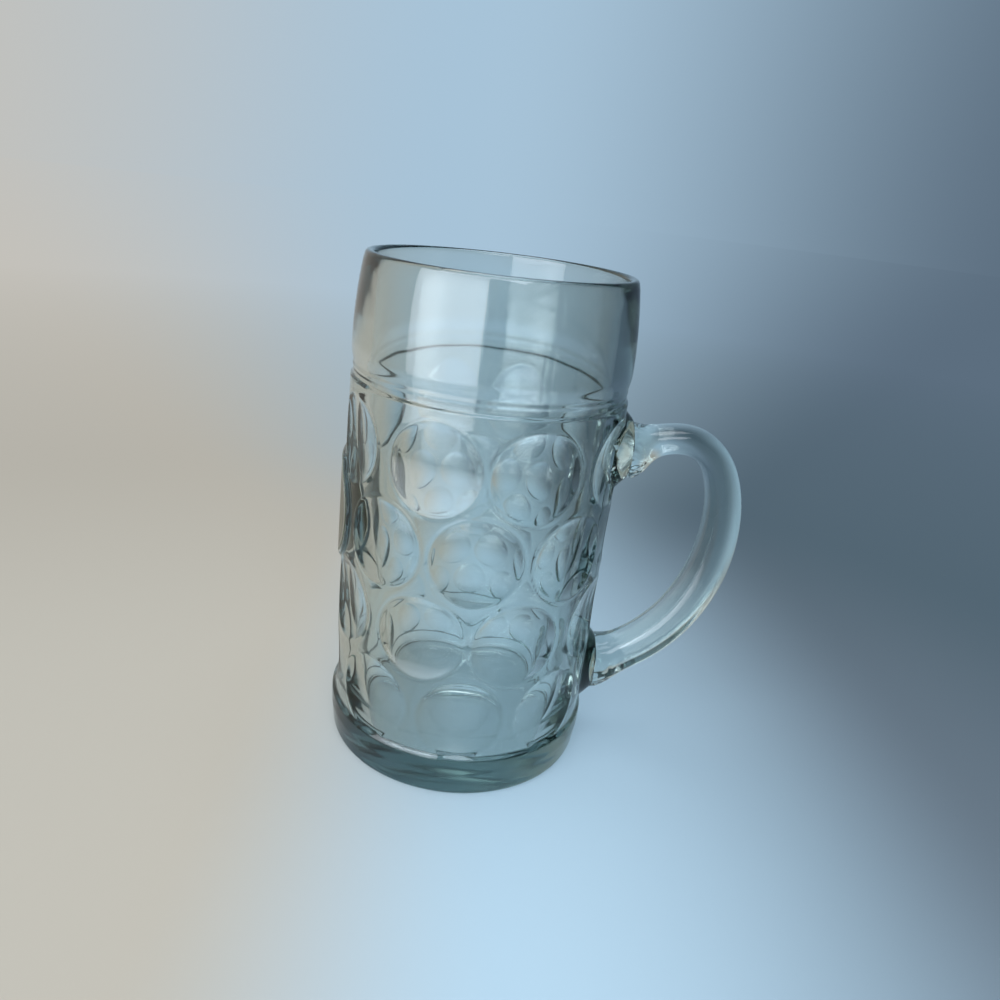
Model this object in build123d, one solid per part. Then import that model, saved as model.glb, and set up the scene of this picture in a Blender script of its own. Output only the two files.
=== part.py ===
from build123d import *
import math
import os

# Dimpled glass beer mug of the one litre kind: a pressed vessel with a solid foot,
# a separately pressed handle fused to two raised pads, and a print fired onto a medallion.
# The origin is the centre of the base, +Z points up and the handle lies along +X.

# Vessel
mug_height = 200.0
body_radius = 54.0
lip_inset = 3.2
lip_wall = 3.4
lip_rounding = 1.5
wall_at_floor = 8.6
floor_thickness = 10.5
floor_corner_radius = 5.0

# Foot, a thick ring that swells a little above the table, with a shallow dome under it
foot_overhang = 1.3
foot_swell_height = 11.0
foot_edge_height = 17.5
foot_slope_height = 4.5
foot_edge_rounding = 1.6
foot_base_rounding = 1.5
rest_ring_width = 13.0
dome_depth = 2.5

# Bead zone, a shallow groove with fine beads standing in it, under the plain rim band
rim_band_height = 34.5
bead_zone_height = 10.5
bead_zone_depth = 0.9
bead_count = 2
bead_radius = 1.3
bead_height = 0.8

# Dimples in staggered rows, as large as leaves a ridge between neighbours.
# The columns crowd towards the flanks, which leaves room for the medallion and the pads.
dimple_rows = 4
dimples_per_row = 8
flank_crowding = 4.0
ridge_width = 3.1
rim_rounding = 5.0
top_row_drop = 21.5
bottom_row_rise = 17.0

# Medallion opposite the handle, in the second row, and the enamel print on it
medallion_row = 1
medallion_diameter = 48.0
medallion_height = 1.3
medallion_rounding = 0.8
print_margin = 2.5
print_thickness = 0.2

# Handle centreline, a bow steered by how it leaves each pad and by its outer shoulder
upper_rise_angle = 27.0
upper_lead = 45.0
shoulder_reach = 46.5
shoulder_rise = 2.4
lower_rise_angle = 18.0
lower_lead = 70.0

# Handle section, an oval that thickens downwards and flares at both roots
upper_thickness = 10.8
upper_width = 16.5
lower_thickness = 16.0
lower_width = 18.5
root_thickness = 22.0
root_width = 23.0
root_flare_length = 8.0
root_depth = 4.0
handle_sections = 20

# Pads under the handle's roots, level with the top row and the bottom row
pad_reach = 4.2
pad_margin = 2.5
pad_draft_angle = 30.0
pad_edge_rounding = 1.5

# Largest shares of the lip's wall and of a ridge that the rounding on one side may take
lip_share = 0.45
ridge_share = 0.3

# Heights and radii that follow from these
band_bottom = mug_height - rim_band_height
bead_zone_bottom = band_bottom - bead_zone_height
top_row_height = bead_zone_bottom - top_row_drop
bottom_row_height = foot_edge_height + bottom_row_rise
row_pitch = (top_row_height - bottom_row_height) / (dimple_rows - 1)
row_heights = [top_row_height - row * row_pitch for row in range(dimple_rows)]
foot_radius = body_radius + foot_overhang
foot_top = foot_edge_height + foot_slope_height
dome_radius = body_radius - rest_ring_width
lip_radius = body_radius - lip_inset
bore_lip_radius = lip_radius - lip_wall
bore_floor_radius = body_radius - wall_at_floor

# Where things stand round the mug, in degrees from the handle
handle_angle = 0
medallion_angle = 180
lower_pad_row = dimple_rows - 1
taken_places = [(medallion_row, medallion_angle), (lower_pad_row, handle_angle)]


def dimple_angles(row):
    """Angles of one row's dimples; every second row is half a pitch on."""
    pitch = 360 / dimples_per_row
    start = 0 if row % 2 else pitch / 2
    even = [start + pitch * place for place in range(dimples_per_row)]
    return [angle + flank_crowding * math.sin(math.radians(2 * angle)) for angle in even]


def least_spacing():
    """Smallest distance between the middles of two dimples, measured round the body."""
    places = []
    for row in (0, 1):
        places += [(math.radians(angle) * body_radius, row_heights[row]) for angle in dimple_angles(row)]
    return min(math.dist(one, other) for one in places for other in places if one != other)


dimple_diameter = least_spacing() - ridge_width
dimple_depth = body_radius - math.sqrt(body_radius**2 - (dimple_diameter / 2) ** 2)
core_radius = body_radius - 2 * dimple_depth


def outward_plane(angle, height):
    """Plane on the mug's axis at a height, its normal pointing out of the mug at an angle."""
    turn = math.radians(angle)
    outward = (math.cos(turn), math.sin(turn), 0)
    sideways = (-math.sin(turn), math.cos(turn), 0)
    return Plane(origin=(0, 0, height), x_dir=sideways, z_dir=outward)


def lathe(section):
    """Turn a section, drawn as radius and height, about the mug's axis."""
    return revolve(Plane.XZ * section, Axis.Z)


def rounded(section, corner, radius):
    """Round the one corner of a section that lies nearest to a point."""
    return fillet(section.vertices().sort_by_distance(corner)[0], radius)


# Plain vessel, narrow at the very bottom where the foot ring goes round it
dome_edge = (dome_radius, 0)
core_edge = (core_radius, 0)
body_bottom = (body_radius, foot_swell_height)
body_top = (body_radius, band_bottom)
lip_outside = (lip_radius, mug_height)
lip_inside = (bore_lip_radius, mug_height)
bore_corner = (bore_floor_radius, floor_thickness)
vessel_outline = [
    TangentArc((0, dome_depth), dome_edge, tangent=(1, 0)),
    Polyline(dome_edge, core_edge, body_bottom, body_top),
    TangentArc(body_top, lip_outside, tangent=(0, 1)),
    Polyline(lip_outside, lip_inside, bore_corner, (0, floor_thickness), (0, dome_depth)),
]
vessel_section = make_face(Curve() + vessel_outline)
lip_radius_limit = lip_share * lip_wall
vessel_section = rounded(vessel_section, lip_outside, min(lip_rounding, lip_radius_limit))
vessel_section = rounded(vessel_section, lip_inside, min(lip_rounding, lip_radius_limit))
vessel_section = rounded(vessel_section, bore_corner, floor_corner_radius)
vessel = lathe(vessel_section)

# Dimples: the cutter lies level across the dimple and bows with the body's own radius,
# so that the rim comes out round
cutter_distance = 2 * body_radius - dimple_depth
cutter_length = 2 * dimple_diameter
dimple_cutter = Pos(0, 0, cutter_distance) * Rot(0, 90, 0) * Cylinder(body_radius, cutter_length)
for row, height in enumerate(row_heights):
    free = [angle for angle in dimple_angles(row) if (row, round(angle)) not in taken_places]
    vessel -= [outward_plane(angle, height) * dimple_cutter for angle in free]

# Foot ring, which closes over the lower edge of the bottom row
base_edge = (body_radius, 0)
swell_edge = (foot_radius, foot_swell_height)
foot_edge = (foot_radius, foot_edge_height)
slope_end = (core_radius, foot_top)
foot_section = make_face(Polyline(core_edge, base_edge, swell_edge, foot_edge, slope_end, close=True))
foot_section = rounded(foot_section, foot_edge, foot_edge_rounding)
foot_section = rounded(foot_section, base_edge, foot_base_rounding)
vessel += lathe(foot_section)


# Rounded dimple rims, no larger than the ridges between them have room for
def lies_level(face):
    """Whether a round face bends about a level axis, as the dimples do."""
    return abs(face.axis_of_rotation.direction.Z) < 0.5


rim_angle = math.asin(dimple_diameter / 2 / body_radius)
rim_radius_limit = ridge_share * ridge_width / math.tan(rim_angle / 2)
dimples = vessel.faces().filter_by(GeomType.CYLINDER).filter_by(lies_level)
rims = [edge for dimple in dimples for edge in dimple.edges() if edge.center().Z > foot_top]
vessel = fillet(rims, min(rim_rounding, rim_radius_limit))


# Medallion, a low round plateau that follows the body's curve
def curved_disc(diameter, inside, outside):
    """Round disc at the medallion's place, between two radii from the mug's axis."""
    height = row_heights[medallion_row]
    post = Cylinder(diameter / 2, 2 * outside, align=(Align.CENTER, Align.CENTER, Align.MIN))
    shell = Cylinder(outside, 2 * diameter) - Cylinder(inside, 2 * diameter)
    return Pos(0, 0, height) * shell & outward_plane(medallion_angle, height) * post


medallion_radius = body_radius + medallion_height
medallion = curved_disc(medallion_diameter, core_radius, medallion_radius)
vessel += fillet(medallion.edges().group_by(Axis.X)[0], medallion_rounding)

# Pads, blunt cones that stand out of the wall under the two ends of the handle
pad_face = body_radius + pad_reach
pad_face_radius = root_width / 2 + pad_margin
pad_length = 2 * (pad_face - core_radius)
pad_base_radius = pad_face_radius + pad_length * math.tan(math.radians(pad_draft_angle))
pad_heights = [row_heights[0], row_heights[lower_pad_row]]
pad = Pos(0, 0, pad_face - pad_length / 2) * Cone(pad_base_radius, pad_face_radius, pad_length)
pad = fillet(pad.edges().group_by(Axis.Z)[-1], pad_edge_rounding)
wall_core = Cylinder(core_radius, mug_height, align=(Align.CENTER, Align.CENTER, Align.MIN))
for height in pad_heights:
    vessel += outward_plane(handle_angle, height) * pad - wall_core

# Bead zone
groove_floor = body_radius - bead_zone_depth
groove = Cylinder(pad_face, bead_zone_height) - Cylinder(groove_floor, bead_zone_height)
vessel -= Pos(0, 0, bead_zone_bottom + bead_zone_height / 2) * groove
bead_pitch = bead_zone_height / (bead_count + 1)
bead_circle = groove_floor + bead_height - bead_radius
for bead in range(bead_count):
    vessel += Pos(0, 0, bead_zone_bottom + bead_pitch * (bead + 1)) * Torus(bead_circle, bead_radius)


# Handle, an oval drawn along a bow that rises from the upper pad and comes down to the lower one
def heading(angle):
    """Direction in the handle's plane, as an angle above the way out of the mug."""
    return Vector(math.cos(math.radians(angle)), 0, math.sin(math.radians(angle)))


upper_heading = heading(upper_rise_angle)
lower_heading = heading(lower_rise_angle)
upper_root = Vector(pad_face, 0, pad_heights[0])
lower_root = Vector(pad_face, 0, pad_heights[1])
centreline = Bezier(
    upper_root - upper_heading * root_depth,
    upper_root + upper_heading * upper_lead,
    upper_root + Vector(shoulder_reach, 0, shoulder_rise),
    lower_root + lower_heading * lower_lead,
    lower_root - lower_heading * root_depth,
)


def flare(distance):
    """How far a section has opened towards the root's size, by its distance from the pad."""
    return math.exp(-((max(distance, 0) / root_flare_length) ** 2))


def oval(share):
    """Section of the handle at a share of the centreline's length."""
    from_upper = share * centreline.length - root_depth
    from_lower = (1 - share) * centreline.length - root_depth
    opening = max(flare(from_upper), flare(from_lower))
    thickness = upper_thickness + share * (lower_thickness - upper_thickness)
    width = upper_width + share * (lower_width - upper_width)
    thickness += opening * (root_thickness - thickness)
    width += opening * (root_width - width)
    place = Plane(centreline.position_at(share), x_dir=(0, 1, 0), z_dir=centreline.tangent_at(share))
    return place * Ellipse(width / 2, thickness / 2)


shares = [(1 - math.cos(math.pi * step / handle_sections)) / 2 for step in range(handle_sections + 1)]
handle = loft([oval(share) for share in shares]) - vessel

# Print, a thin disc of enamel on the medallion
print_diameter = medallion_diameter - 2 * print_margin
badge_print = curved_disc(print_diameter, medallion_radius, medallion_radius + print_thickness)

os.makedirs("parts", exist_ok=True)
export_step(vessel, "parts/glass_body.step")
export_step(handle, "parts/handle.step")
export_step(badge_print, "parts/badge_print.step")
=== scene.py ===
import math

import bpy
from mathutils import Matrix, Vector, noise


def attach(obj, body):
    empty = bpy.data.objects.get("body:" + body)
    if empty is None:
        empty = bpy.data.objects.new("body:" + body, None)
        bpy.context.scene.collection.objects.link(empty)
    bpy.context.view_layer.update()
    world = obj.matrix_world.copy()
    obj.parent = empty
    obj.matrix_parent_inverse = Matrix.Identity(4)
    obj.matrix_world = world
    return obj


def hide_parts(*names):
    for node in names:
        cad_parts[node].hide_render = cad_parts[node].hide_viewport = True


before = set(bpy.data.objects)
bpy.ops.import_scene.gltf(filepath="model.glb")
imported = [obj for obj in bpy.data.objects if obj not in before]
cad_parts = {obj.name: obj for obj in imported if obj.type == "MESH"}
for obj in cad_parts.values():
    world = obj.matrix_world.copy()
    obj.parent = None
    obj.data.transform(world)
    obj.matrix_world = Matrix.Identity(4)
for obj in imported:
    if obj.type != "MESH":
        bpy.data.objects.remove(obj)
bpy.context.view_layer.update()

# Vessel: the body of a one litre beer mug, soda-lime glass pressed in an iron mould.
# The mould gives the dimples, beads, medallion and pads, a plunger leaves the bore smooth,
# and fire polishing softens every edge afterwards. Sizes are in millimetres.
MM = 0.001
mug_height = 200.0
body_radius = 54.0
core_radius = 48.5
wall_bottom = 3.0

# Foot ring and the shallow dome under it
foot_radius = 55.3
foot_swell = 11.0
foot_edge = 17.5
foot_top = 22.0
foot_reach = foot_top + 1
foot_edge_softness = 1.8
foot_root_softness = 0.8
base_rounding = 1.5
dome_radius = 41.0
dome_depth = 2.5

# Rim band, lip and bore
band_bottom = 165.5
lip_radius = 50.8
lip_rounding = 1.6
lip_lean = 0.1
bore_lip_radius = 47.4
bore_floor_radius = 45.4
floor_level = 10.5
floor_corner = 5.0

# Bead zone under the band
bead_zone_bottom = 155.0
bead_zone_depth = 0.9
bead_step = 1.5
bead_run_out = 7.0
bead_level = 159.0
bead_half_width = 1.4
bead_height = 0.18

# Dimples, with a raised lip round each rim
row_heights = (133.5, 100.5, 67.5, 34.5)
dimples_per_row = 8
flank_crowding = 4.0
dimple_radius = 17.0
dimple_depth = body_radius - math.sqrt(body_radius**2 - dimple_radius**2)
dimple_reach = dimple_radius + 4
dimple_turn = 0.45
rim_softness = 0.3
rim_lip = 0.18
rim_slope = 0.4

# Medallion opposite the handle, and the pads under the handle's two ends
medallion_row = 1
medallion_size = 24.0
medallion_radius = 55.3
medallion_bevel = 1.5
medallion_slope = 0.8
medallion_softness = 0.5
medallion_reach = medallion_size + 4
medallion_turn = 1.0
pad_face = 58.2
pad_size = 12.4
pad_slope = 0.95
pad_edge_softness = 0.5
pad_root_softness = 0.9
pad_reach = pad_size + 6
pad_turn = 0.6


def soft_min(one, other, softness):
    """The smaller of two radii, with the corner between them rounded off."""
    blend = max(softness - abs(one - other), 0.0) / softness
    return min(one, other) - blend * blend * softness / 4


def soft_max(one, other, softness):
    """The larger of two radii, with the hollow between them filled in."""
    return -soft_min(-one, -other, softness)


def soft_step(share):
    """A step from nought to one with eased ends."""
    share = min(max(share, 0.0), 1.0)
    return share * share * (3 - 2 * share)


def turn_between(turn, middle):
    """Signed angle from one direction round the mug to another."""
    return (turn - middle + math.pi) % (2 * math.pi) - math.pi


def dimple_middles():
    """Angle and height of every dimple; the medallion and the lower pad each take one place."""
    taken = ((medallion_row, 180), (len(row_heights) - 1, 0))
    found = []
    for row, height in enumerate(row_heights):
        first = 0 if row % 2 else 180 / dimples_per_row
        for place in range(dimples_per_row):
            angle = first + place * 360 / dimples_per_row
            if (row, round(angle)) not in taken:
                crowded = angle + flank_crowding * math.sin(math.radians(2 * angle))
                found.append((math.radians(crowded), height))
    return found


middles = dimple_middles()


def foot_outline(height):
    """Radius of the foot ring: a slight swell, then a slope that runs in under the dimples."""
    swell = body_radius + (foot_radius - body_radius) * min(height / foot_swell, 1.0)
    inward = (height - foot_edge) * (foot_radius - core_radius) / (foot_top - foot_edge)
    return soft_min(swell, foot_radius - inward, foot_edge_softness)


def band_radius(height):
    """Radius of the rim band, which leans in towards the lip on a shallow arc."""
    share = max(height - band_bottom, 0) / (mug_height - band_bottom)
    return body_radius - (body_radius - lip_radius) * share * share


def bead_outline(height):
    """How far the bead zone lies below the body: a sharp step, a fine bead, a slow run-out."""
    groove = bead_zone_depth * soft_step((height - bead_zone_bottom) / bead_step + 0.5)
    groove *= soft_step((band_bottom - height) / bead_run_out)
    off = min(abs(height - bead_level) / bead_half_width, 1.0)
    return groove - bead_height * math.cos(off * math.pi / 2) ** 2


def wall_radius(turn, height):
    """Outside radius of the pressed wall at one angle and height."""
    radius = band_radius(height) - bead_outline(height)
    for middle, level in middles:
        up = height - level
        aside = turn_between(turn, middle)
        if abs(up) < dimple_reach and abs(aside) < dimple_turn:
            hollow = 2 * body_radius - dimple_depth - math.sqrt(body_radius**2 - up * up)
            hollow /= math.cos(aside)
            from_rim = (hollow - body_radius) / rim_slope
            radius = soft_min(radius, hollow, rim_softness)
            radius += rim_lip * math.exp(-from_rim * from_rim)
    aside = turn_between(turn, math.pi)
    off = math.hypot(body_radius * math.sin(aside), height - row_heights[medallion_row])
    if abs(aside) < medallion_turn and off < medallion_reach:
        bevel = max(off - medallion_size + medallion_bevel, 0) * medallion_slope
        radius = soft_max(radius, medallion_radius - bevel, medallion_softness)
    aside = turn_between(turn, 0)
    for level in (row_heights[0], row_heights[-1]):
        off = math.hypot(body_radius * math.tan(aside), height - level)
        if abs(aside) < pad_turn and off < pad_reach:
            flat = pad_face / math.cos(aside)
            flank = pad_face - (off - pad_size) * pad_slope
            pad = soft_min(flat, flank, pad_edge_softness)
            radius = soft_max(radius, pad, pad_root_softness)
    if height < foot_reach:
        radius = soft_max(radius, foot_outline(height), foot_root_softness)
    return radius


def bore_radius(height):
    """Radius of the bore, which opens a little upwards."""
    share = (height - floor_level) / (mug_height - floor_level)
    return bore_floor_radius + (bore_lip_radius - bore_floor_radius) * share


def arc(middle, radius, start, end, steps):
    """Points of a rounded corner in the mug's section, by angle from the way out."""
    angles = [math.radians(start + (end - start) * step / steps) for step in range(steps + 1)]
    return [(middle[0] + radius * math.cos(a), middle[1] + radius * math.sin(a)) for a in angles]


def levels(bottom, top, step):
    """Evenly spaced heights from bottom to just under top."""
    count = max(round((top - bottom) / step), 1)
    return [bottom + (top - bottom) * place / count for place in range(count)]


# Rows of the section, from the middle of the dome round the outside to the middle of the floor.
# They lie close where the relief is fine, and narrow rows on both sides of each corner keep the
# smooth shading from bending the plain faces beside it.
narrow_row = 0.6
dome_shares = (0, 0.15, 0.3, 0.45, 0.6, 0.75, 0.9, 0.985, 1)
ring_radii = (dome_radius + narrow_row, 45.0, 49.0, 51.9)
wall_zones = (
    (wall_bottom, 15.5, 1.8),
    (15.5, foot_reach, 0.5),
    (foot_reach, 152, 0.8),
    (152, 154, 0.7),
    (154, 166.5, 0.45),
    (166.5, 196.5, 3.0),
)
wall_end = 197.3
bore_step = 13
bore_top_rows = [194, 197.6]
floor_shares = (0.985, 0.95, 0.85, 0.65, 0.45, 0.25, 0.1, 0)
base_steps = 5
lip_steps = 7
corner_steps = 10

under = [(dome_radius * share, dome_depth * (1 - share * share)) for share in dome_shares]
under += [(radius, 0.0) for radius in ring_radii]
under += arc((body_radius - base_rounding, base_rounding), base_rounding, -90, 0, base_steps)
wall_levels = [height for zone in wall_zones for height in levels(*zone)] + [wall_end]
wall = [(band_radius(height), height) for height in wall_levels]
lip_level = mug_height - lip_rounding
lip = arc((lip_radius - lip_rounding + lip_lean, lip_level), lip_rounding, 10, 90, lip_steps)
lip += arc((bore_lip_radius + lip_rounding, lip_level), lip_rounding, 90, 180, lip_steps)
corner_top = floor_level + floor_corner
bore_levels = levels(corner_top + 2, bore_top_rows[0], bore_step) + bore_top_rows
bore_levels.insert(0, corner_top + narrow_row)
bore = [(bore_radius(height), height) for height in reversed(bore_levels)]
corner_middle = bore_radius(corner_top) - floor_corner
inside_corner = arc((corner_middle, corner_top), floor_corner, 0, -90, corner_steps)
inner_floor = [(corner_middle * share, floor_level) for share in floor_shares]
section = under + wall + lip + bore + inside_corner + inner_floor
wall_rows = range(len(under), len(under) + len(wall))
lip_end = wall_rows[-1] + len(lip)

# Slow unevenness of the pressed glass, less of it outside than in the bore
unevenness_size = 26.0
unevenness_depth = 0.10
outside_share = 0.5
inside_share = 1.5


def vessel_point(across, row):
    """Place of one point of the vessel, by its share of the turn and its row in the section."""
    turn = 2 * math.pi * across
    radius, height = section[row]
    place = Vector((radius * math.cos(turn), radius * math.sin(turn), height))
    uneven = unevenness_depth * noise.noise(place / unevenness_size)
    if row in wall_rows:
        radius = wall_radius(turn, height) + outside_share * uneven
    elif row > lip_end:
        radius = max(radius + inside_share * uneven, 0) if radius else 0
    return Vector((radius * math.cos(turn), radius * math.sin(turn), height)) * MM


weld_distance = 1e-6


def shaped_sheet(name, columns, rows, point):
    """Add a sheet of faces, move its corners to their places and weld where edges meet."""
    bpy.ops.object.select_all(action="DESELECT")
    bpy.ops.mesh.primitive_grid_add(x_subdivisions=columns, y_subdivisions=rows, size=1)
    piece = bpy.context.object
    piece.name = name
    piece.data.name = name
    for vertex in piece.data.vertices:
        vertex.co = point(vertex.co.x + 0.5, round((vertex.co.y + 0.5) * rows))
    bpy.ops.object.mode_set(mode="EDIT")
    bpy.ops.mesh.select_all(action="SELECT")
    bpy.ops.mesh.remove_doubles(threshold=weld_distance)
    bpy.ops.mesh.normals_make_consistent(inside=False)
    bpy.ops.object.mode_set(mode="OBJECT")
    bpy.ops.object.shade_smooth()
    return piece


vessel_columns = 336
vessel = shaped_sheet("mug_vessel", vessel_columns, len(section) - 1, vessel_point)

# The shading of the outside follows the true slopes of the relief, which are finer than its faces
slope_step = 0.3
outside_least = 49.0
outside_top = 197.0


def wall_normal(place):
    """Direction in which the pressed wall faces at a place on it, from its radius's slopes."""
    turn = math.atan2(place.y, place.x)
    height = place.z / MM
    twist = slope_step / body_radius
    sideways = wall_radius(turn + twist, height) - wall_radius(turn - twist, height)
    upward = wall_radius(turn, height + slope_step) - wall_radius(turn, height - slope_step)
    sideways /= 2 * slope_step
    upward /= 2 * slope_step
    ahead = math.cos(turn) + sideways * math.sin(turn)
    leftward = math.sin(turn) - sideways * math.cos(turn)
    return Vector((ahead, leftward, -upward)).normalized()


facing = []
for vertex in vessel.data.vertices:
    outside = math.hypot(vertex.co.x, vertex.co.y) > outside_least * MM
    on_wall = outside and wall_bottom < vertex.co.z / MM < outside_top
    facing.append(wall_normal(vertex.co) if on_wall else vertex.normal)
vessel.data.normals_split_custom_set_from_vertices(facing)


def linear(hex_colour):
    """Linear colour for a shader, from an sRGB hex value."""
    parts = [int(hex_colour[i:i + 2], 16) / 255 for i in (1, 3, 5)]
    bent = [c / 12.92 if c <= 0.04045 else ((c + 0.055) / 1.055) ** 2.4 for c in parts]
    return (*bent, 1.0)


def add_node(tree, kind, settings=None, links=None, stops=()):
    """Add a shader node with its settings, what feeds its inputs and a ramp's colours."""
    node = tree.nodes.new(kind)
    for name, value in (settings or {}).items():
        if isinstance(name, int) or name in node.inputs:
            node.inputs[name].default_value = value
        else:
            setattr(node, name, value)
    for name, source in (links or {}).items():
        tree.links.new(source, node.inputs[name])
    for _ in stops[2:]:
        node.color_ramp.elements.new(0.5)
    for number, (place, colour) in enumerate(stops):
        node.color_ramp.elements[number].position = place
        node.color_ramp.elements[number].color = linear(colour)
    return node


def new_material(name):
    """An empty node material and its tree."""
    material = bpy.data.materials.new(name)
    material.use_nodes = True
    material.node_tree.nodes.clear()
    return material, material.node_tree


# Pressed soda-lime glass: clear, with the grey-green of a little iron where it is thick.
# Fire polish leaves slow waves from the mould and a faint skin that is never quite flat.
wave_size = 14 * MM
wave_depth = 0.4 * MM
skin_size = 3.5 * MM
skin_depth = 0.1 * MM
glass, glass_tree = new_material("pressed_glass")
glass_spot = add_node(glass_tree, "ShaderNodeTexCoord").outputs["Object"]
waves = add_node(
    glass_tree,
    "ShaderNodeTexNoise",
    {"Scale": 1 / wave_size, "Detail": 1.0},
    {"Vector": glass_spot},
)
skin = add_node(
    glass_tree,
    "ShaderNodeTexNoise",
    {"Scale": 1 / skin_size, "Detail": 0.0},
    {"Vector": glass_spot},
)
wavy = add_node(
    glass_tree,
    "ShaderNodeBump",
    {"Strength": 0.2, "Distance": wave_depth},
    {"Height": waves.outputs["Fac"]},
)
polished = add_node(
    glass_tree,
    "ShaderNodeBump",
    {"Strength": 0.05, "Distance": skin_depth},
    {"Height": skin.outputs["Fac"], "Normal": wavy.outputs["Normal"]},
)
clear_glass = add_node(
    glass_tree,
    "ShaderNodeBsdfPrincipled",
    {"Base Color": linear("#FBFEFD"), "Roughness": 0.05, "IOR": 1.52, "Transmission Weight": 1.0},
    {"Normal": polished.outputs["Normal"]},
)
iron_tint = add_node(
    glass_tree, "ShaderNodeVolumeAbsorption", {"Color": linear("#CEDBDA"), "Density": 46.0}
)
add_node(
    glass_tree,
    "ShaderNodeOutputMaterial",
    links={"Surface": clear_glass.outputs["BSDF"], "Volume": iron_tint.outputs["Volume"]},
)

vessel.data.materials.append(glass)
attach(vessel, "root")
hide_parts("glass_body")

# Handle: pressed from the same glass on its own and stuck on while both are hot.
# It thickens downwards, and at both ends the soft glass is squeezed out into a folded collar.
upper_root = Vector((pad_face, 0.0, row_heights[0]))
lower_root = Vector((pad_face, 0.0, row_heights[-1]))
root_depth = 4.0
upper_rise = math.radians(27)
lower_rise = math.radians(18)
upper_lead = 45.0
lower_lead = 70.0
shoulder = Vector((46.5, 0.0, 2.4))
upper_heading = Vector((math.cos(upper_rise), 0.0, math.sin(upper_rise)))
lower_heading = Vector((math.cos(lower_rise), 0.0, math.sin(lower_rise)))
bow = (
    upper_root - upper_heading * root_depth,
    upper_root + upper_heading * upper_lead,
    upper_root + shoulder,
    lower_root + lower_heading * lower_lead,
    lower_root - lower_heading * root_depth,
)
bow_steps = 400

# Width and thickness of its oval section, how square that is, and the folds at the roots
upper_oval = (16.5, 10.8)
lower_oval = (18.5, 16.0)
root_oval = (23.0, 22.0)
flare_length = 8.0
thickening = 0.62
squareness = 0.8
fold_depth = 0.9
fold_reach = 4.5
fold_count = 4.5
fold_drift = 0.3
handle_gap = 0.02
handle_columns = 96
handle_rows = 220
cap_rows = 4
handle_crease = math.radians(50)


def bow_at(share):
    """Point and direction of the handle's bow."""
    keep = 1 - share
    weights = (keep**4, 4 * keep**3 * share, 6 * keep**2 * share**2, 4 * keep * share**3, share**4)
    point = sum((place * weight for place, weight in zip(bow, weights)), Vector())
    slopes = (keep**3, 3 * keep**2 * share, 3 * keep * share**2, share**3)
    way = sum(((bow[i + 1] - bow[i]) * slopes[i] for i in range(4)), Vector())
    return point, way.normalized()


bow_lengths = [0.0]
for step in range(bow_steps):
    leg = bow_at((step + 1) / bow_steps)[0] - bow_at(step / bow_steps)[0]
    bow_lengths.append(bow_lengths[-1] + leg.length)
bow_length = bow_lengths[-1]


def squared(wave):
    """A sine or cosine drawn out towards its ends, which makes an oval squarer."""
    return math.copysign(abs(wave) ** squareness, wave)


def side_point(share, around):
    """Place on the handle's side, by the share of the bow and the angle round its oval."""
    point, way = bow_at(share)
    mark = share * bow_steps
    low = min(int(mark), bow_steps - 1)
    along = bow_lengths[low] + (bow_lengths[low + 1] - bow_lengths[low]) * (mark - low)
    part = soft_step(along / bow_length / thickening)
    from_root = max(min(along, bow_length - along) - root_depth, 0)
    opening = math.exp(-((from_root / flare_length) ** 2))
    width, thickness = (
        (upper + (lower - upper) * part) * (1 - opening) + root * opening
        for upper, lower, root in zip(upper_oval, lower_oval, root_oval)
    )
    ring = (fold_count * math.cos(around), fold_count * math.sin(around), fold_drift * along)
    fold = noise.noise(Vector(ring))
    fold *= fold_depth * math.exp(-((from_root / fold_reach) ** 2))
    across = Vector((0.0, 1.0, 0.0))
    upward = way.cross(across)
    aside = squared(math.cos(around)) * (width / 2 + fold)
    rise = squared(math.sin(around)) * (thickness / 2 + fold)
    return point + across * aside + upward * rise


halvings = 30


def meets_pad(around, inside, outside):
    """Share of the bow at which the side leaves the pad's face, found by halving."""
    for _ in range(halvings):
        middle = (inside + outside) / 2
        if side_point(middle, around).x < pad_face + handle_gap:
            inside = middle
        else:
            outside = middle
    return outside


column_angles = [2 * math.pi * column / handle_columns for column in range(handle_columns)]
upper_ends = [meets_pad(around, 0.0, 0.2) for around in column_angles]
lower_ends = [meets_pad(around, 1.0, 0.8) for around in column_angles]
upper_middle = Vector((pad_face + handle_gap, 0.0, row_heights[0]))
lower_middle = Vector((pad_face + handle_gap, 0.0, row_heights[-1]))


def handle_point(across, row):
    """Place of one point of the handle: the upper end, the side, then the lower end."""
    column = round(across * handle_columns) % handle_columns
    part = min(max((row - cap_rows) / (handle_rows - 2 * cap_rows), 0.0), 1.0)
    share = upper_ends[column] + (lower_ends[column] - upper_ends[column]) * part
    point = side_point(share, column_angles[column])
    if row < cap_rows:
        point = upper_middle.lerp(point, row / cap_rows)
    if row > handle_rows - cap_rows:
        point = lower_middle.lerp(point, (handle_rows - row) / cap_rows)
    return point * MM


handle = shaped_sheet("mug_handle", handle_columns, handle_rows, handle_point)
bpy.ops.object.shade_smooth_by_angle(angle=handle_crease)
handle.data.materials.append(glass)
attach(handle, "root")
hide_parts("handle")

# Badge: a round of opaque glass enamel, printed on the medallion and fired on.
# It carries plain rings, as a stand-in for any motif, and follows the medallion's curve.
print_radius = 21.5
print_thickness = 0.2
print_gap = 0.02
print_rings = 16
print_columns = 128
print_crease = math.radians(40)
print_level = row_heights[medallion_row]


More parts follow.
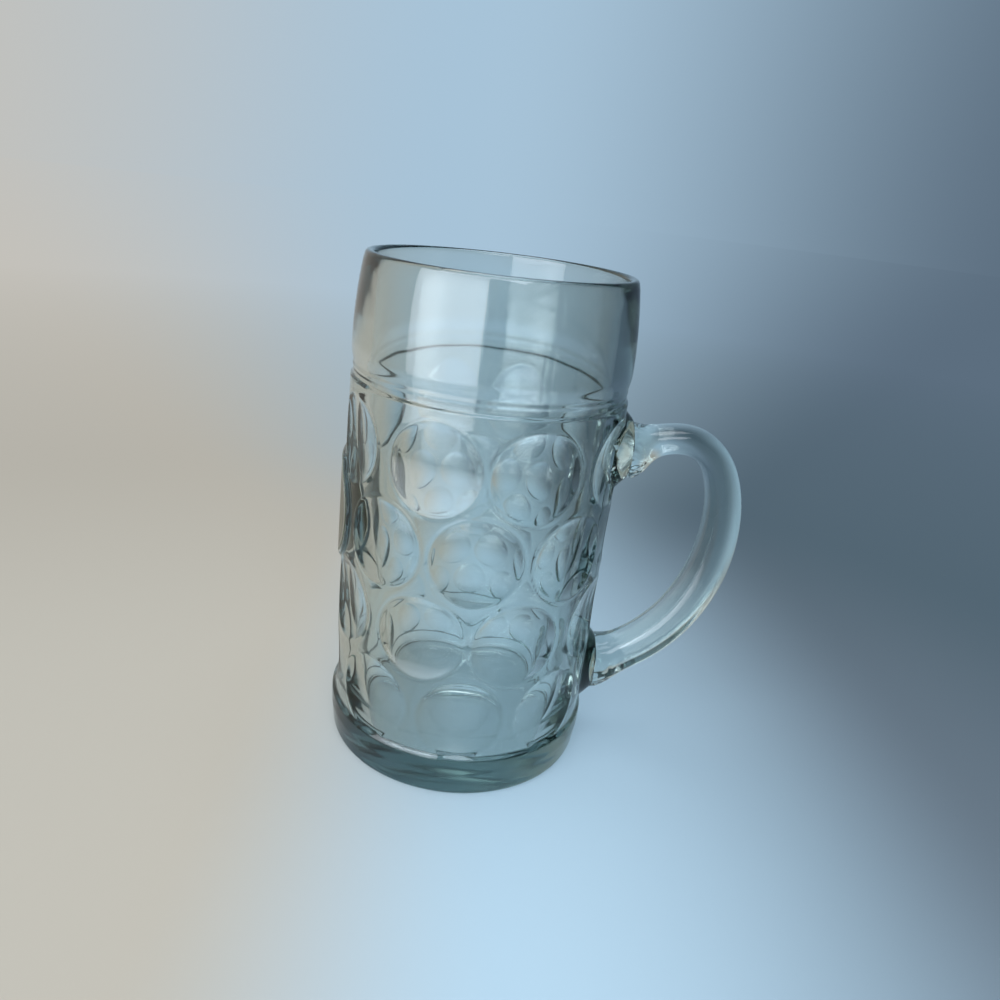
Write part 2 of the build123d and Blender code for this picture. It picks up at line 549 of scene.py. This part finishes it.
def badge_point(across, row):
    """Place of one point of the print: its back, its edge, then its front."""
    around = 2 * math.pi * across
    front = row > print_rings
    off = print_radius * (min(row, 2 * print_rings + 1 - row) / print_rings)
    side = off * math.cos(around)
    up = off * math.sin(around)
    depth = medallion_radius + print_gap + (print_thickness if front else 0)
    return Vector((-math.sqrt(depth**2 - side**2), -side, print_level + up)) * MM


badge = shaped_sheet("badge_enamel", print_columns, 2 * print_rings + 1, badge_point)
bpy.ops.object.shade_smooth_by_angle(angle=print_crease)

# Fired enamel: ground coloured glass melted on through a stencil, satin and faintly grainy.
# Its rings are sharp edged, and the back, seen through the glass, is one plain olive coat.
grain_size = 1.1 * MM
grain_depth = 0.05 * MM
back_colour = "#5B6136"
ring_colours = (
    (0.0, "#8F8C7C"),
    (0.10, "#5F6250"),
    (0.30, "#8F8C7C"),
    (0.33, "#5F6250"),
    (0.80, "#8F8C7C"),
    (0.84, "#4B4E45"),
    (0.91, "#86887F"),
)
enamel, enamel_tree = new_material("fired_enamel")
enamel_spot = add_node(enamel_tree, "ShaderNodeTexCoord").outputs["Object"]
centred = add_node(
    enamel_tree,
    "ShaderNodeMapping",
    {"vector_type": "POINT", "Location": (0.0, 0.0, -print_level * MM)},
    {"Vector": enamel_spot},
)
print_axes = add_node(
    enamel_tree, "ShaderNodeSeparateXYZ", links={"Vector": centred.outputs["Vector"]}
)
print_face = add_node(
    enamel_tree,
    "ShaderNodeCombineXYZ",
    links={"X": print_axes.outputs["Y"], "Y": print_axes.outputs["Z"]},
)
from_middle = add_node(
    enamel_tree,
    "ShaderNodeVectorMath",
    {"operation": "LENGTH"},
    {0: print_face.outputs["Vector"]},
)
ring_place = add_node(
    enamel_tree,
    "ShaderNodeMapRange",
    {"From Max": print_radius * MM},
    {"Value": from_middle.outputs["Value"]},
)
rings = add_node(
    enamel_tree,
    "ShaderNodeValToRGB",
    links={"Fac": ring_place.outputs["Result"]},
    stops=ring_colours,
)
rings.color_ramp.interpolation = "CONSTANT"
grain = add_node(
    enamel_tree,
    "ShaderNodeTexNoise",
    {"Scale": 1 / grain_size, "Detail": 3.0},
    {"Vector": enamel_spot},
)
mottled = add_node(
    enamel_tree,
    "ShaderNodeMix",
    {"data_type": "RGBA", "blend_type": "MULTIPLY", "Factor": 0.25},
    {"A": rings.outputs["Color"], "B": grain.outputs["Color"]},
)
level_spot = add_node(
    enamel_tree,
    "ShaderNodeVectorMath",
    {"operation": "MULTIPLY", 1: (1.0, 1.0, 0.0)},
    {0: enamel_spot},
)
from_axis = add_node(
    enamel_tree,
    "ShaderNodeVectorMath",
    {"operation": "LENGTH"},
    {0: level_spot.outputs["Vector"]},
)
on_front = add_node(
    enamel_tree,
    "ShaderNodeMath",
    {"operation": "GREATER_THAN", 1: (medallion_radius + print_thickness / 2) * MM},
    {0: from_axis.outputs["Value"]},
)
coat = add_node(
    enamel_tree,
    "ShaderNodeMix",
    {"data_type": "RGBA", "A": linear(back_colour)},
    {"Factor": on_front.outputs["Value"], "B": mottled.outputs["Result"]},
)
grainy = add_node(
    enamel_tree,
    "ShaderNodeBump",
    {"Strength": 0.2, "Distance": grain_depth},
    {"Height": grain.outputs["Fac"]},
)
satin = add_node(
    enamel_tree,
    "ShaderNodeBsdfPrincipled",
    {"Roughness": 0.28, "IOR": 1.52},
    {"Base Color": coat.outputs["Result"], "Normal": grainy.outputs["Normal"]},
)
add_node(enamel_tree, "ShaderNodeOutputMaterial", links={"Surface": satin.outputs["BSDF"]})
badge.data.materials.append(enamel)
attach(badge, "root")
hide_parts("badge_print")

# Surroundings: a wide pale table top that fades into a plain backdrop, with warm light painted on
# the window's side and painted shade on the far side.
# The room in front and overhead is dimmer, which draws dark lines along the edges of the glass.
# Sizes from here on are in metres.
# Painted light across the backdrop, from left to right: warm window light, then blue, then painted
# shade.
upper_painted_light_tones = ("#C4C1BA", "#A7C3D8", "#5C6E7F")
lower_painted_light_tones = ("#B5B2A9", "#99B1BF", "#526572")
tone_places = (0.0, 0.5, 1.0)
tone_width = 0.6
room_tone = "#232B30"
room_way = (0.35, -0.70, 0.62)
room_spread = 0.5


def reflections_only(tree):
    """Socket that is one on light paths with a mirror reflection and nought on the others."""
    path = add_node(tree, "ShaderNodeLightPath")
    capped = add_node(
        tree,
        "ShaderNodeMath",
        {"operation": "MINIMUM", 1: 1.0},
        {0: path.outputs["Glossy Depth"]},
    )
    return capped.outputs["Value"]


def backdrop_colour(tree, direction, rise):
    """Colour of the surroundings in a direction, with the lower tones at no rise and the upper
    ones at full rise. Reflections show the dimmer room in front instead."""
    axes = add_node(tree, "ShaderNodeSeparateXYZ", links={"Vector": direction})
    across = add_node(
        tree,
        "ShaderNodeMapRange",
        {"From Min": -tone_width, "From Max": tone_width},
        {"Value": axes.outputs["X"]},
    )
    ramps = []
    for tones in (lower_painted_light_tones, upper_painted_light_tones):
        ramp = add_node(
            tree,
            "ShaderNodeValToRGB",
            links={"Fac": across.outputs["Result"]},
            stops=tuple(zip(tone_places, tones)),
        )
        ramp.color_ramp.interpolation = "EASE"
        ramps.append(ramp.outputs["Color"])
    pale = add_node(
        tree,
        "ShaderNodeMix",
        {"data_type": "RGBA"},
        {"Factor": rise, "A": ramps[0], "B": ramps[1]},
    )
    facing_room = add_node(
        tree,
        "ShaderNodeVectorMath",
        {"operation": "DOT_PRODUCT", 1: room_way},
        {0: direction},
    )
    dim = add_node(
        tree,
        "ShaderNodeMapRange",
        {"interpolation_type": "SMOOTHSTEP", "From Min": 0.0, "From Max": room_spread},
        {"Value": facing_room.outputs["Value"]},
    )
    shown = add_node(
        tree,
        "ShaderNodeMath",
        {"operation": "MULTIPLY"},
        {0: dim.outputs["Result"], 1: reflections_only(tree)},
    )
    surroundings = add_node(
        tree,
        "ShaderNodeMix",
        {"data_type": "RGBA", "B": linear(room_tone)},
        {"Factor": shown.outputs["Value"], "A": pale.outputs["Result"]},
    )
    return surroundings.outputs["Result"]


# Painted board: matt pale paint with painted light on it, warm on the window's side and painted
# shade away from it, and brighter round a lit middle like a painted pool of light. Two fifths of
# its tone glow by themselves, painted light that keeps the shadow soft, and far off it all turns
# to backdrop.
floor_sides = 96
floor_radius = 8.0
floor_drop = 0.0002
# Middle of the painted pool of light, round which the board is brighter.
lit_middle = (-0.08, -0.20, 0.0)
fade_span = {"From Min": 0.22, "From Max": 0.6}
climb_span = {"From Min": 0.5, "From Max": 1.6}
# Painted light across the board, from left to right: warm window light, then blue, then painted
# shade.
painted_falloff_span = {"From Min": -0.35, "From Max": 0.25}
painted_falloff_places = (0.42, 0.62, 0.98)
glow_tones = ("#B4B0A5", "#AECEE3", "#657380")
paint_and_shade_tones = ("#C8BFB1", "#C2DAE8", "#727E88")
near_glow = 0.4
bpy.ops.object.select_all(action="DESELECT")
bpy.ops.mesh.primitive_circle_add(
    vertices=floor_sides, radius=floor_radius, fill_type="NGON", location=(0, 0, -floor_drop)
)
floor = bpy.context.object
floor.name = "floor"
painted, board_tree = new_material("painted_board")
board_spot = add_node(board_tree, "ShaderNodeTexCoord").outputs["Object"]
from_lit = add_node(
    board_tree,
    "ShaderNodeVectorMath",
    {"operation": "SUBTRACT", 1: lit_middle},
    {0: board_spot},
)
far = add_node(
    board_tree,
    "ShaderNodeVectorMath",
    {"operation": "LENGTH"},
    {0: from_lit.outputs["Vector"]},
)
outward = add_node(
    board_tree, "ShaderNodeVectorMath", {"operation": "NORMALIZE"}, {0: board_spot}
)
fade = add_node(
    board_tree,
    "ShaderNodeMapRange",
    {"interpolation_type": "SMOOTHSTEP", **fade_span},
    {"Value": far.outputs["Value"]},
)
climb = add_node(board_tree, "ShaderNodeMapRange", climb_span, {"Value": far.outputs["Value"]})
board_axes = add_node(board_tree, "ShaderNodeSeparateXYZ", links={"Vector": board_spot})
painted_falloff = add_node(board_tree, "ShaderNodeMapRange", painted_falloff_span, {"Value": board_axes.outputs["X"]})
board_ramps = []
for board_tones in (glow_tones, paint_and_shade_tones):
    board_ramp = add_node(
        board_tree,
        "ShaderNodeValToRGB",
        links={"Fac": painted_falloff.outputs["Result"]},
        stops=tuple(zip(painted_falloff_places, board_tones)),
    )
    board_ramp.color_ramp.interpolation = "EASE"
    board_ramps.append(board_ramp.outputs["Color"])
far_colour = backdrop_colour(board_tree, outward.outputs["Vector"], climb.outputs["Result"])
glow_colour = add_node(
    board_tree,
    "ShaderNodeMix",
    {"data_type": "RGBA"},
    {"Factor": fade.outputs["Result"], "A": board_ramps[0], "B": far_colour},
)
glow_share = add_node(
    board_tree, "ShaderNodeMapRange", {"To Min": near_glow}, {"Value": fade.outputs["Result"]}
)
paint = add_node(
    board_tree,
    "ShaderNodeBsdfPrincipled",
    {"Roughness": 0.6, "Specular IOR Level": 0.0},
    {"Base Color": board_ramps[1]},
)
glow = add_node(board_tree, "ShaderNodeEmission", links={"Color": glow_colour.outputs["Result"]})
board = add_node(
    board_tree,
    "ShaderNodeMixShader",
    links={0: glow_share.outputs["Result"], 1: paint.outputs["BSDF"], 2: glow.outputs["Emission"]},
)
add_node(board_tree, "ShaderNodeOutputMaterial", links={"Surface": board.outputs["Shader"]})
floor.data.materials.append(painted)

# World of the same tones all round, so that the table top has no visible end
sky_span = {"From Min": -0.3, "From Max": -0.1}
room = bpy.data.worlds.new("room")
bpy.context.scene.world = room
room.use_nodes = True
room_tree = room.node_tree
room_tree.nodes.clear()
toward = add_node(room_tree, "ShaderNodeTexCoord").outputs["Generated"]
room_axes = add_node(room_tree, "ShaderNodeSeparateXYZ", links={"Vector": toward})
room_climb = add_node(room_tree, "ShaderNodeMapRange", sky_span, {"Value": room_axes.outputs["Z"]})
room_colour = backdrop_colour(room_tree, toward, room_climb.outputs["Result"])
sky = add_node(room_tree, "ShaderNodeBackground", {"Strength": 1.0}, {"Color": room_colour})
add_node(room_tree, "ShaderNodeOutputWorld", links={"Surface": sky.outputs["Background"]})


# Lamps: a square window at the front left, which shows only as a reflection in the glass,
# and two large softboxes, one in front and one overhead, that light the table.
def softbox(name, place, target, width, height, watts, colour):
    """A rectangular lamp that faces a point and isn't seen directly."""
    lamp = bpy.data.lights.new(name, "AREA")
    lamp.shape = "RECTANGLE"
    lamp.size = width
    lamp.size_y = height
    lamp.energy = watts
    lamp.color = linear(colour)[:3]
    box = bpy.data.objects.new(name, lamp)
    bpy.context.scene.collection.objects.link(box)
    box.location = place
    box.rotation_euler = (Vector(target) - Vector(place)).to_track_quat("-Z", "Y").to_euler()
    box.visible_camera = False
    return box


window = softbox("window", (-0.25, -0.30, 0.2), (0, 0, 0.2), 0.42, 0.40, 3.3, "#EEF7FF")
window.visible_diffuse = False
softbox("key", (-0.25, -0.80, 0.85), (0, 0, 0), 1.4, 0.5, 9.0, "#F2F8FF")
softbox("overhead", (-0.1, 0.1, 1.5), (0, 0, 0), 1.0, 1.0, 9.0, "#F4F9FF")

# The window's pane is brightest off its middle and dims towards its edges and its sill
pane_grades = {
    "X": ((0.0, 0.45), (0.12, 0.8), (0.3, 1.0), (0.55, 0.8), (0.9, 0.8), (1.0, 0.45)),
    "Y": ((0.0, 0.15), (0.35, 0.9), (0.9, 1.0), (1.0, 0.7)),
}
window.data.use_nodes = True
pane_tree = window.data.node_tree
pane_strength = reflections_only(pane_tree)
pane_spot = add_node(pane_tree, "ShaderNodeNewGeometry").outputs["Parametric"]
pane_axes = add_node(pane_tree, "ShaderNodeSeparateXYZ", links={"Vector": pane_spot})
for axis, grades in pane_grades.items():
    graded = add_node(pane_tree, "ShaderNodeFloatCurve", links={"Value": pane_axes.outputs[axis]})
    curve = graded.mapping.curves[0]
    while len(curve.points) < len(grades):
        curve.points.new(0.5, 0.5)
    for point, grade in zip(curve.points, grades):
        point.location = grade
    graded.mapping.update()
    both = add_node(
        pane_tree,
        "ShaderNodeMath",
        {"operation": "MULTIPLY"},
        {0: pane_strength, 1: graded.outputs["Value"]},
    )
    pane_strength = both.outputs["Value"]
pane_tree.links.new(pane_strength, pane_tree.nodes["Emission"].inputs["Strength"])

# Camera: a phone held a little above the rim, about 0.3 m away and tipped to one side.
# Its place and angles were fitted to the rim, the base and the rows of dimples.
camera_place = (-0.01367, -0.31314, 0.22544)
yaw = math.radians(4.19)
pitch = -0.3640
roll = 0.1207
camera_data = bpy.data.cameras.new("camera")
camera_data.lens = 29.28
camera_data.sensor_width = 36.0
camera_data.clip_start = 0.01
camera = bpy.data.objects.new("camera", camera_data)
bpy.context.scene.collection.objects.link(camera)
forward = Vector(
    (math.sin(yaw) * math.cos(pitch), math.cos(yaw) * math.cos(pitch), math.sin(pitch))
)
right = Vector((math.cos(yaw), -math.sin(yaw), 0.0))
upright = right.cross(forward)
tipped_right = right * math.cos(roll) + upright * math.sin(roll)
tipped_up = upright * math.cos(roll) - right * math.sin(roll)
tipped = Matrix((tipped_right, tipped_up, -forward)).transposed().to_4x4()
camera.matrix_world = Matrix.Translation(camera_place) @ tipped
bpy.context.scene.camera = camera
bpy.context.scene.view_settings.view_transform = "Standard"

# A sight line crosses many faces of thick glass before it reaches the table or the backdrop
bpy.context.scene.cycles.max_bounces = 24
bpy.context.scene.cycles.transmission_bounces = 24
bpy.context.scene.cycles.glossy_bounces = 12
